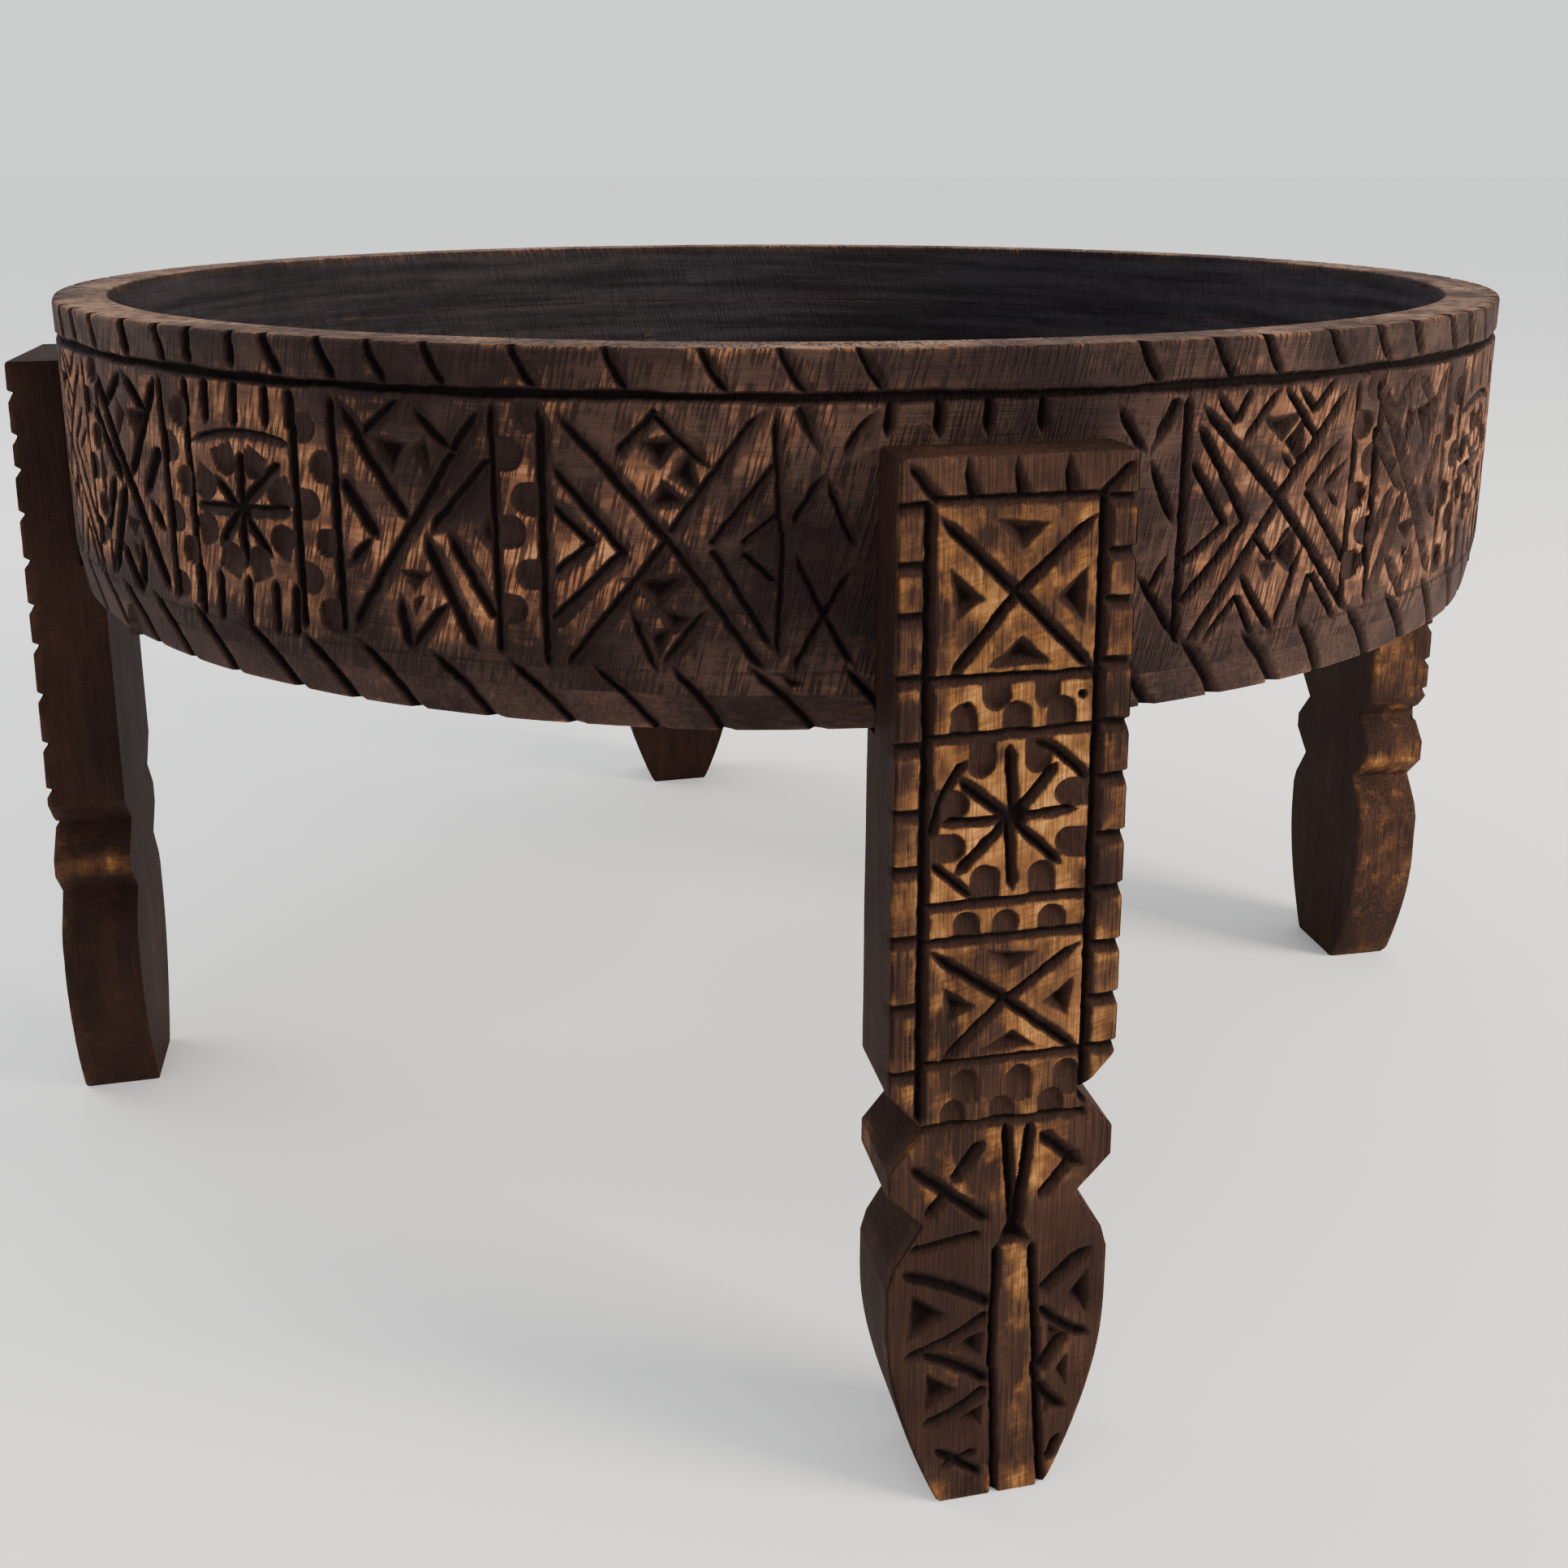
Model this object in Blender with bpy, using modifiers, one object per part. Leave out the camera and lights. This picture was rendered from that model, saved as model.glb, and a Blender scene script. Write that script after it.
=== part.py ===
"""A low round table: a carved wooden drum, open at the top like a bowl, on four carved legs.

The drum's wall is three stacked rings of glued quarter segments, standing on a floor of four boards.
Each leg is notched to half its depth, so the drum sits on a shoulder and the leg stands proud of the wall.
Metres, +Z up. The origin is on the ground under the middle of the drum, and the front leg is towards -Y.
"""

import math

import bmesh
import bpy
from mathutils import Matrix

# Drum
RIM_HEIGHT = 0.385
DRUM_RADIUS = 0.325
WALL_THICKNESS = 0.022
DRUM_BOTTOM = 0.266
BOARD_THICKNESS = 0.012
BEVEL_HEIGHT = 0.019
BEVEL_INSET = 0.0028
RING_NAMES = ("bottom", "middle", "top")
BAND_GROOVE_HEIGHT = 0.3705
BAND_GROOVE_WIDTH = 0.004
BAND_GROOVE_DEPTH = 0.003
ARC_STEPS = 24
BOARD_COUNT = 4

# Legs
LEG_WIDTH = 0.076
LEG_TOP = 0.356
LEG_FACE_RADIUS_TOP = 0.346
LEG_FACE_RADIUS_FOOT = 0.351
LEG_BACK_RADIUS_TOP = 0.3145
LEG_BACK_RADIUS_FOOT = 0.3165
LEG_BASE_ANGLES = {"front": 0.0, "right": 90.0, "back": 180.0, "left": 270.0}
LEG_TURNS = {"front": 0.15, "right": -1.8, "back": 1.35, "left": 0.8}
FOOT_HALF_WIDTH = 0.019
FOOT_HEIGHT = 0.072
FOOT_STEPS = 7
FOOT_FULLNESS = 0.95
LEG_TOP_HALF_WIDTH = 0.037

# Heights of the V cuts above and below the bead. Each leg was sawn by hand: one side is a little lower
NECK_HEIGHTS = {"high": (0.112, 0.148), "low": (0.107, 0.141)}
LEG_SIDES = {
    "front": ("low", "high"),
    "right": ("high", "low"),
    "back": ("low", "high"),
    "left": ("high", "low"),
}

# Fasteners
SCREW_SIDES = 16
SHANK_RADIUS = 0.0022
HEAD_RADIUS = 0.0045
HEAD_HEIGHT = 0.0028
HEAD_SINK = 0.0005
POINT_LENGTH = 0.005
SLOT_WIDTH = 0.0010
SLOT_DEPTH = 0.0012
LEG_SCREW_LENGTH = 0.036
FLOOR_SCREW_LENGTH = 0.030
LEG_SCREWS = {"low": (-0.018, 0.295), "high": (0.018, 0.325)}
FLOOR_SCREW_COUNT = 8

GAP = 0.0003
OBJECT_NAME = "carved_drum_table"


def clear_scene():
    for old in list(bpy.data.objects):
        bpy.data.objects.remove(old)


def collection(name):
    made = bpy.data.collections.new(name)
    bpy.context.scene.collection.children.link(made)
    return made


def material(name, colour, roughness, metallic=0.0):
    made = bpy.data.materials.new(name)
    made.use_nodes = True
    shader = made.node_tree.nodes["Principled BSDF"]
    shader.inputs["Base Color"].default_value = (*colour, 1.0)
    shader.inputs["Roughness"].default_value = roughness
    shader.inputs["Metallic"].default_value = metallic
    return made


def mesh_object(name, bm, group, finish=None):
    """Turns the bmesh into an object with its faces pointing out."""
    bmesh.ops.recalc_face_normals(bm, faces=bm.faces)
    mesh = bpy.data.meshes.new(name)
    bm.to_mesh(mesh)
    bm.free()
    made = bpy.data.objects.new(name, mesh)
    group.objects.link(made)
    if finish:
        mesh.materials.append(finish)
    return made


def mark_cutter(cutter):
    cutter.hide_render = True
    cutter.display_type = "WIRE"
    return cutter


def boolean(target, cutter, operation="DIFFERENCE"):
    modifier = target.modifiers.new(f"{operation.lower()} {cutter.name}", "BOOLEAN")
    modifier.operation = operation
    modifier.object = cutter


def smooth(target, sharp_degrees=30):
    target.data.shade_smooth()
    target.data.set_sharp_from_angle(angle=math.radians(sharp_degrees))


def swept_arc(outline, start, sweep, steps):
    """A closed (radius, height) outline turned about the drum's axis through sweep degrees."""
    bm = bmesh.new()
    corners = [bm.verts.new((radius, 0.0, height)) for radius, height in outline]
    face = bm.faces.new(corners)
    bmesh.ops.rotate(bm, verts=corners, matrix=Matrix.Rotation(math.radians(start), 3, "Z"))
    bmesh.ops.spin(
        bm,
        geom=[face, *face.edges, *corners],
        axis=(0.0, 0.0, 1.0),
        angle=math.radians(sweep),
        steps=steps,
    )
    return bm


def ring_outline(bottom, top):
    """Cross-section of one wall ring, with the bevel and the band groove where they cross it."""
    inner = DRUM_RADIUS - WALL_THICKNESS
    bevel_top = DRUM_BOTTOM + BEVEL_HEIGHT
    outline = [(inner, top), (inner, bottom)]
    if bottom < bevel_top:
        inset = BEVEL_INSET * (bevel_top - bottom) / BEVEL_HEIGHT
        outline += [(DRUM_RADIUS - inset, bottom), (DRUM_RADIUS, bevel_top)]
    else:
        outline.append((DRUM_RADIUS, bottom))
    if bottom < BAND_GROOVE_HEIGHT < top:
        outline += [
            (DRUM_RADIUS, BAND_GROOVE_HEIGHT - BAND_GROOVE_WIDTH / 2),
            (DRUM_RADIUS - BAND_GROOVE_DEPTH, BAND_GROOVE_HEIGHT),
            (DRUM_RADIUS, BAND_GROOVE_HEIGHT + BAND_GROOVE_WIDTH / 2),
        ]
    outline.append((DRUM_RADIUS, top))
    return outline


def make_wall(group, finish):
    """Three rings of four quarter segments. The middle ring's joints are half a segment round."""
    names = {
        "straight": ("back_right", "back_left", "front_left", "front_right"),
        "turned": ("back", "left", "front", "right"),
    }
    floor_top = DRUM_BOTTOM + BOARD_THICKNESS
    ring_height = (RIM_HEIGHT - floor_top) / len(RING_NAMES)
    joint_gap = math.degrees(GAP / DRUM_RADIUS)
    segments = {}
    for level, ring in enumerate(RING_NAMES):
        bottom = floor_top + level * ring_height + GAP
        top = floor_top + (level + 1) * ring_height
        laid = "turned" if ring == "middle" else "straight"
        first_joint = 45.0 if laid == "turned" else 0.0
        for quarter, side in enumerate(names[laid]):
            start = first_joint + 90.0 * quarter + joint_gap / 2
            bm = swept_arc(ring_outline(bottom, top), start, 90.0 - joint_gap, ARC_STEPS)
            segment = mesh_object(f"wall_{ring}_{side}", bm, group, finish)
            smooth(segment)
            segments[ring, side] = segment
    return segments


def make_floor(group, cutters, finish):
    """A round floor with a bevelled edge, cut into boards that run from left to right."""
    top = DRUM_BOTTOM + BOARD_THICKNESS
    top_radius = DRUM_RADIUS - BEVEL_INSET * (BEVEL_HEIGHT - BOARD_THICKNESS) / BEVEL_HEIGHT
    width = 2 * DRUM_RADIUS / BOARD_COUNT
    boards = []
    for index in range(BOARD_COUNT):
        bm = bmesh.new()
        bmesh.ops.create_cone(
            bm,
            cap_ends=True,
            segments=4 * ARC_STEPS,
            radius1=DRUM_RADIUS - BEVEL_INSET,
            radius2=top_radius,
            depth=BOARD_THICKNESS,
            matrix=Matrix.Translation((0.0, 0.0, (top + DRUM_BOTTOM) / 2)),
        )
        board = mesh_object(f"floor_board_{index + 1}", bm, group, finish)
        bm = bmesh.new()
        bmesh.ops.create_cube(bm, size=1.0)
        strip = mark_cutter(mesh_object(f"strip_{index + 1}", bm, cutters))
        strip.scale = (1.0, width - GAP, 1.0)
        strip.location.y = -DRUM_RADIUS + (index + 0.5) * width
        boolean(board, strip, "INTERSECT")
        smooth(board)
        boards.append(board)
    return boards


def leg_matrix(name):
    """From a leg's own frame, with -Y outwards, to its place round the drum."""
    return Matrix.Rotation(math.radians(LEG_BASE_ANGLES[name] + LEG_TURNS[name]), 4, "Z")


def lean(foot_radius, top_radius, height, top_height):
    return foot_radius + (top_radius - foot_radius) * height / top_height


def side_outline(kind):
    """(height, distance from the leg's middle) up one side: rounded foot, neck, bead, neck and shaft."""
    lower_neck, upper_neck = NECK_HEIGHTS[kind]
    full, neck = LEG_WIDTH / 2, LEG_WIDTH * 0.35
    outline = []
    for step in range(FOOT_STEPS + 1):
        share = step / FOOT_STEPS
        swell = math.sin(math.radians(90) * share) ** FOOT_FULLNESS
        outline.append((FOOT_HEIGHT * share, FOOT_HALF_WIDTH + (full - FOOT_HALF_WIDTH) * swell))
    outline += [
        (lower_neck - 0.022, full),
        (lower_neck - 0.015, full - 0.002),
        (lower_neck, neck),
        (lower_neck + 0.012, full),
        (upper_neck - 0.014, full),
        (upper_neck, neck),
        (upper_neck + 0.013, full),
        (LEG_TOP, LEG_TOP_HALF_WIDTH),
    ]
    return outline


def make_leg(name, group, drum_space, finish):
    """The carved outline, extruded from the face to the back, and notched for the drum."""
    left_side, right_side = (side_outline(kind) for kind in LEG_SIDES[name])
    bm = bmesh.new()
    right = [bm.verts.new((half, 0.0, height)) for height, half in right_side]
    left = [bm.verts.new((-half, 0.0, height)) for height, half in reversed(left_side)]
    face = bm.faces.new(right + left)
    back = bmesh.ops.extrude_face_region(bm, geom=[face])["geom"]
    back_verts = {v for v in back if isinstance(v, bmesh.types.BMVert)}
    for vert in bm.verts:
        if vert in back_verts:
            vert.co.y = -lean(LEG_BACK_RADIUS_FOOT, LEG_BACK_RADIUS_TOP, vert.co.z, DRUM_BOTTOM)
        else:
            vert.co.y = -lean(LEG_FACE_RADIUS_FOOT, LEG_FACE_RADIUS_TOP, vert.co.z, LEG_TOP)
    leg = mesh_object(f"leg_{name}", bm, group, finish)
    leg.matrix_world = leg_matrix(name)
    boolean(leg, drum_space)
    return leg


def make_drum_space(cutters):
    """The space that the drum takes from the back of each leg."""
    bm = bmesh.new()
    bottom, top = DRUM_BOTTOM - GAP, RIM_HEIGHT + WALL_THICKNESS
    bmesh.ops.create_cone(
        bm,
        cap_ends=True,
        segments=8 * ARC_STEPS,
        radius1=DRUM_RADIUS + GAP,
        radius2=DRUM_RADIUS + GAP,
        depth=top - bottom,
        matrix=Matrix.Translation((0.0, 0.0, (top + bottom) / 2)),
    )
    return mark_cutter(mesh_object("drum_space", bm, cutters))


def make_screw(name, length, group, finish, room=0.0):
    """A countersunk wood screw, head at the origin and point towards +Z; room swells it for a hole."""
    shank, head = SHANK_RADIUS + room, HEAD_RADIUS + room
    profile = (
        (0.0, length + room),
        (shank, length - POINT_LENGTH + room),
        (shank, HEAD_HEIGHT),
        (head, 0.0),
        (head, -HEAD_SINK - room),
        (0.0, -HEAD_SINK - room),
    )
    mesh = bpy.data.meshes.new(name)
    points = [(radius, 0.0, height) for radius, height in profile]
    mesh.from_pydata(points, [(i, i + 1) for i in range(len(points) - 1)], [])
    screw = bpy.data.objects.new(name, mesh)
    group.objects.link(screw)
    turn = screw.modifiers.new("turn", "SCREW")
    turn.steps = turn.render_steps = SCREW_SIDES
    turn.use_merge_vertices = True
    turn.merge_threshold = 0.00001
    if finish:
        mesh.materials.append(finish)
    return screw


def cut_slot(screw, cutters):
    """The straight slot across a screw's head."""
    bm = bmesh.new()
    bmesh.ops.create_cube(bm, size=1.0)
    slot = mark_cutter(mesh_object(f"slot_{screw.name}", bm, cutters))
    size = Matrix.Diagonal((3 * HEAD_RADIUS, SLOT_WIDTH, 2 * SLOT_DEPTH, 1.0))
    slot.matrix_world = screw.matrix_world @ Matrix.Translation((0.0, 0.0, -HEAD_SINK)) @ size
    boolean(screw, slot)


def cut_hole(name, length, place, targets, cutters):
    hole = mark_cutter(make_screw(name, length, cutters, None, room=GAP))
    hole.matrix_world = place
    for target in targets:
        boolean(target, hole)


def fasten_legs(segments, legs, group, cutters, finish):
    """Two screws a leg, from inside the drum: one in the bottom ring and one in the middle ring."""
    bottom_side = {"front": "front_left", "right": "front_right", "back": "back_right", "left": "back_left"}
    for name, leg in legs.items():
        for level, (offset, height) in LEG_SCREWS.items():
            ring, side = ("bottom", bottom_side[name]) if level == "low" else ("middle", name)
            inner = DRUM_RADIUS - WALL_THICKNESS
            depth = math.sqrt(inner**2 - offset**2) - HEAD_SINK
            outwards = Matrix.Rotation(math.radians(90), 4, "X")
            place = leg_matrix(name) @ Matrix.Translation((offset, -depth, height)) @ outwards
            screw = make_screw(f"leg_screw_{name}_{level}", LEG_SCREW_LENGTH, group, finish)
            screw.matrix_world = place
            smooth(screw)
            cut_slot(screw, cutters)
            hole = f"hole_{screw.name}"
            cut_hole(hole, LEG_SCREW_LENGTH, place, [segments[ring, side], leg], cutters)


def fasten_floor(segments, boards, group, cutters, finish):
    """Screws up through the boards into the bottom ring, two in each quarter."""
    quarters = ("back_right", "back_left", "front_left", "front_right")
    radius = DRUM_RADIUS - WALL_THICKNESS / 2
    width = 2 * DRUM_RADIUS / BOARD_COUNT
    for index in range(FLOOR_SCREW_COUNT):
        angle = math.radians((index + 0.5) * 360 / FLOOR_SCREW_COUNT)
        x, y = radius * math.cos(angle), radius * math.sin(angle)
        place = Matrix.Translation((x, y, DRUM_BOTTOM + HEAD_SINK))
        screw = make_screw(f"floor_screw_{index + 1}", FLOOR_SCREW_LENGTH, group, finish)
        screw.matrix_world = place
        smooth(screw)
        cut_slot(screw, cutters)
        board = boards[int((y + DRUM_RADIUS) // width)]
        segment = segments["bottom", quarters[index * 4 // FLOOR_SCREW_COUNT]]
        cut_hole(f"hole_{screw.name}", FLOOR_SCREW_LENGTH, place, [board, segment], cutters)


def main():
    clear_scene()
    parts = collection(OBJECT_NAME)
    cutters = collection("cutters")
    wall_wood = material("wall_wood", (0.075, 0.042, 0.028), 0.62)
    floor_wood = material("floor_wood", (0.045, 0.032, 0.028), 0.70)
    leg_wood = material("leg_wood", (0.110, 0.055, 0.026), 0.58)
    steel = material("screw_steel", (0.42, 0.40, 0.36), 0.40, 1.0)
    segments = make_wall(parts, wall_wood)
    boards = make_floor(parts, cutters, floor_wood)
    drum_space = make_drum_space(cutters)
    legs = {name: make_leg(name, parts, drum_space, leg_wood) for name in LEG_BASE_ANGLES}
    fasten_legs(segments, legs, parts, cutters, steel)
    fasten_floor(segments, boards, parts, cutters, steel)


main()
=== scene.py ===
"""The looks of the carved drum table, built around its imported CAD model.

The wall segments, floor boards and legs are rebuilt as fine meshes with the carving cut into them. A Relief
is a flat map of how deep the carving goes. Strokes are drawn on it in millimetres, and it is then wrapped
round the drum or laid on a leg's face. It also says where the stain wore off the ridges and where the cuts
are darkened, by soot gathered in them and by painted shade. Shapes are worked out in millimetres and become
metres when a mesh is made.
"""

import math

import bpy
import numpy as np
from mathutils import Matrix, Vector


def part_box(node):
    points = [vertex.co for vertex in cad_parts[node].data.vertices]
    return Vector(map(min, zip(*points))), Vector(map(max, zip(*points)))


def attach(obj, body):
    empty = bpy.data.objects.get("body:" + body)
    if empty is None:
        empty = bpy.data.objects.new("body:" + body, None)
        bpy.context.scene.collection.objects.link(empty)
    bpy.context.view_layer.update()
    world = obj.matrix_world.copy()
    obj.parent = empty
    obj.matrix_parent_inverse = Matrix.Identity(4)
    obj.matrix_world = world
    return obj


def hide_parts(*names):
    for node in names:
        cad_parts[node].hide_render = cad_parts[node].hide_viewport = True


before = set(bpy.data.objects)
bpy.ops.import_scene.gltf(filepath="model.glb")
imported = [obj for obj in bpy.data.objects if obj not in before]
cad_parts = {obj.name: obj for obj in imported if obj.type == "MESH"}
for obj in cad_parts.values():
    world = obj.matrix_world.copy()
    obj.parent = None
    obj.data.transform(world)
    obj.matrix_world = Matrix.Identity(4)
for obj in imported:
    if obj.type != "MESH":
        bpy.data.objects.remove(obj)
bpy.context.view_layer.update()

MM = 0.001


def node_points(node):
    return np.array([vertex.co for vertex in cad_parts[node].data.vertices]) / MM


def node_heights(node):
    low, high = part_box(node)
    return low.z / MM, high.z / MM


# Drum
RADIUS_RANGE = np.hypot(*node_points("wall_top_back_left").T[:2])
INNER_RADIUS, DRUM_RADIUS = RADIUS_RANGE.min(), RADIUS_RANGE.max()
CIRCUMFERENCE = 2 * math.pi * DRUM_RADIUS
DRUM_BOTTOM, FLOOR_TOP = node_heights("floor_board_1")
RIM_HEIGHT = node_heights("wall_top_back_left")[1]
BEVEL_HEIGHT = 19
BEVEL_TOP = DRUM_BOTTOM + BEVEL_HEIGHT
BEVEL_INSET = 2.8
BAND_GROOVE = 370.5
FRIEZE_BOTTOM = 285.5
# Where each segment starts, in degrees round the drum from the front leg towards the right one
SEGMENT_STARTS = {
    "front_right": 0, "back_right": 90, "back_left": 180, "front_left": 270,
    "right": 45, "back": 135, "left": 225, "front": 315,
}
BOARD_COUNT = 4

# Legs. Their angles are in degrees round the drum, like the segments'
LEG_ANGLES = {"front": 0.15, "right": 88.2, "back": 181.35, "left": 270.8}
LEG_TOP = 356
LEG_HALF = 38
LEG_TOP_HALF = 37
NECK_HALF = 26.6
FOOT_HALF = 19
FOOT_HEIGHT = 72
FOOT_STEPS = 12
FOOT_FULLNESS = 0.95
FACE_RADIUS_FOOT, FACE_RADIUS_TOP = 351, 346
BACK_RADIUS_FOOT, BACK_RADIUS_TOP = 316.5, 314.5
BEAD_MIDDLE, BEAD_REACH = 124, 7
NECK_HEIGHTS = {"high": (112, 148), "low": (107, 141)}
LEG_SIDES = {
    "front": ("low", "high"),
    "right": ("high", "low"),
    "back": ("low", "high"),
    "left": ("high", "low"),
}
# The leg sides, -1 left and 1 right, that are lighter all over: worn to bare wood, and painted light as they
# face the key lamp
LIT_AND_WORN_SIDES = (("right", -1),)

# Mesh and map resolution
CELL = 0.4
WALL_STEP = 0.56
LEG_STEP = 0.6
COARSE_EVERY = 4

# Joints and edges. A cut that meets an edge runs on over it for NOTCH_RUN, and wear fades over EDGE_FADE.
# A leg's face lies FACE_INSET behind the CAD's, to leave room for its waves
GAP = 0.3
SEAM = 0.015
SEAM_ROUNDING = 0.16
EDGE_ROUNDING = 1.6
EDGE_FADE = 1.2
NOTCH_RUN = 9
FACE_INSET = 0.5
SHARP_ANGLE = 42

# Cuts. From -1 to 1 across a stroke, its slope ends within SLOPE_SHARE, and the higher the power BARE_SLOPE,
# the less of the slope holds soot and painted shade. A cut's shade is how dark it is at 1 mm deep, with soot
# and painted shade; each stroke is painted darkest on its steep wall, which lies towards STEEP_TOWARDS
CUT_WIDTH = 1.5
CUT_DEPTH = 1.15
STEEP_TOWARDS = (-1.0, 0.35)
SLOPE_SHARE = (0.4, 0.72)
BARE_SLOPE = 3.4
STROKE_SHADE = 0.43
CHIP_SHADE = 0.2
THUMB_SHADE = 0.13
SCALLOP_SPACING = (23.9, 25.3)

# Camera
CAMERA_PLACE = (-0.16107, -0.77617, 0.43667)
CAMERA_YAW = 0.2090
CAMERA_PITCH = -0.2412
CAMERA_LENS = 36.70
CAMERA_SHIFT_UP = -0.1429

# Room and finish
ROOM_REACH = 60.0
FILE_SLANT = 0.24


def unit(values):
    return np.clip(values, 0.0, 1.0)


# The relief


def blur(grid, reach):
    """Two box blurs over reach cells each way."""
    for axis in (0, 1, 0, 1):
        width = [(0, 0), (0, 0)]
        width[axis] = (reach + 1, reach)
        total = np.cumsum(np.pad(grid, width, mode="edge"), axis=axis)
        ahead = np.take(total, range(2 * reach + 1, total.shape[axis]), axis=axis)
        behind = np.take(total, range(total.shape[axis] - 2 * reach - 1), axis=axis)
        grid = (ahead - behind) / (2 * reach + 1)
    return grid


class Relief:
    """How deep the carving goes, in mm, over a strip of wood: u runs along the strip and v up it, in mm."""

    def __init__(self, u_low, u_high, v_low, v_high, seed):
        self.u = np.linspace(u_low, u_high, round((u_high - u_low) / CELL) + 1)
        self.v = np.linspace(v_low, v_high, round((v_high - v_low) / CELL) + 1)
        self.depth, self.shade, self.rub = np.zeros((3, len(self.v), len(self.u)))
        self.random = np.random.default_rng(seed)
        self.aim(0.0)

    def aim(self, origin, mirror=False, blade=1.0, clean=BARE_SLOPE):
        """From here on, points are given from this place along u, and mirrored if asked.

        blade widens or narrows the strokes; the higher the last, the less of their slope is darkened by soot
        and painted shade."""
        self.origin = origin
        self.side = -1.0 if mirror else 1.0
        self.blade = blade
        self.clean = clean

    def place(self, points, unsteadiness=0.35):
        """Points where the hand put them, which is a little off where it aimed."""
        aimed = np.array(points, float) * (self.side, 1.0) + (self.origin, 0.0)
        return aimed + self.random.normal(0.0, unsteadiness, aimed.shape)

    def window(self, points, margin):
        """The cells around these points: their places, and which they are."""
        low, high = np.min(points, axis=0) - margin, np.max(points, axis=0) + margin
        columns = slice(*np.searchsorted(self.u, (low[0], high[0])))
        rows = slice(*np.searchsorted(self.v, (low[1], high[1])))
        u, v = np.meshgrid(self.u[columns], self.v[rows])
        return u, v, (rows, columns)

    def cut(self, cells, depth, shade):
        self.depth[cells] = np.maximum(self.depth[cells], depth)
        self.shade[cells] = np.maximum(self.shade[cells], depth * shade)

    def stroke(self, width, start, end, depth=2.4, bow=0.0, taper=(7.0, 5.0)):
        """A knife cut with one steep side, narrowing over taper mm at each end. bow is how far it bends."""
        start, end = self.place((start, end))
        bow *= self.side
        width, depth = width * CUT_WIDTH * self.blade, depth * CUT_DEPTH
        length = np.hypot(*(end - start))
        along = (end - start) / length
        u, v, cells = self.window((start, end), width + abs(bow))
        distance = (u - start[0]) * along[0] + (v - start[1]) * along[1]
        share = distance / length
        across = (v - start[1]) * along[0] - (u - start[0]) * along[1] - 4 * bow * share * (1 - share)
        ends = np.minimum(distance / max(taper[0], 0.3), (length - distance) / max(taper[1], 0.3))
        fade = unit(ends) ** 0.7
        steep_side = np.sign(along[0] * STEEP_TOWARDS[1] - along[1] * STEEP_TOWARDS[0])
        lean = self.random.uniform(*SLOPE_SHARE)
        side = steep_side * across / np.maximum(fade * width / 2, 0.05)
        slope = unit((side + 1) / (1 + lean))
        steep = unit((1 - side) / (1 - lean))
        wall = np.where(side < lean, slope, steep)
        # Soot and painted shade: the steep wall, on the side towards STEEP_TOWARDS, is dark all over, the
        # slope only near its foot
        soot = np.where(side < lean, slope**self.clean, unit(1.6 * steep))
        self.cut(cells, depth * fade * wall, STROKE_SHADE * soot / np.maximum(wall, 0.01))

    def path(self, width, *points, depth=2.4, taper=(7.0, 5.0)):
        """Strokes from point to point, tapered only at the two ends."""
        last = len(points) - 2
        for index in range(last + 1):
            ends = (taper[0] if index == 0 else 0.0, taper[1] if index == last else 0.0)
            self.stroke(width, points[index], points[index + 1], depth, taper=ends)

    def chip(self, *corners, depth=4.0, slope=1.15):
        """A three-sided chip, cut down to a point inside its corners."""
        corners = self.place(corners, 0.3)
        u, v, cells = self.window(corners, 1.0)
        turn = np.sign(np.cross(corners[1] - corners[0], corners[2] - corners[1]))
        inside = np.full(u.shape, np.inf)
        for a, b in zip(corners, np.roll(corners, -1, axis=0)):
            along = (b - a) / np.hypot(*(b - a))
            inside = np.minimum(inside, turn * (along[0] * (v - a[1]) - along[1] * (u - a[0])))
        self.cut(cells, np.clip(inside * slope, 0.0, depth), CHIP_SHADE)

    def thumb(self, foot, direction, width=9.0, length=9.5, depth=2.3):
        """A gouge cut: open at its foot, steep and deepest at its round end."""
        tip = (foot[0] + direction[0] * length, foot[1] + direction[1] * length)
        foot, tip = self.place((foot, tip), 0.3)
        length = np.hypot(*(tip - foot))
        along = (tip - foot) / length
        width *= self.random.uniform(0.92, 1.08)
        u, v, cells = self.window((foot, tip), width)
        y = (u - foot[0]) * along[0] + (v - foot[1]) * along[1]
        x = (v - foot[1]) * along[0] - (u - foot[0]) * along[1]
        radius = width / 2
        round_end = radius - np.hypot(x, y - (length - radius))
        inside = np.where(y < length - radius, radius - abs(x), round_end)
        floor = depth * (0.45 + 0.55 * unit(y / length)) * (1 - 0.3 * (x / radius) ** 2)
        hollow = np.clip(np.minimum(floor, 2.4 * inside), 0.0, None)
        self.cut(cells, np.where(y > -0.5, hollow, 0.0), THUMB_SHADE)

    def pit(self, centre, radius, depth):
        centre = self.place((centre,))[0]
        u, v, cells = self.window((centre,), radius + 1)
        reach = np.hypot(u - centre[0], v - centre[1])
        self.cut(cells, depth * unit(1.6 * (1 - reach / radius)), STROKE_SHADE)

    def level_line(self, width, height, depth):
        """A V cut along the whole strip."""
        turns = 2 * math.pi * (self.u - self.u[0]) / (self.u[-1] - self.u[0])
        waves = np.sin(9 * turns + 1.3) + np.sin(23 * turns) + 0.6 * np.sin(61 * turns + 0.4)
        line = height + 0.35 * waves / 2
        width = width * (1 + 0.16 * np.sin(17 * turns) + 0.12 * np.sin(47 * turns + 2.0))
        reach = abs(self.v[:, None] - line) / (width / 2)
        self.cut(..., depth * unit(1.35 * (1 - reach)), STROKE_SHADE)

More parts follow.
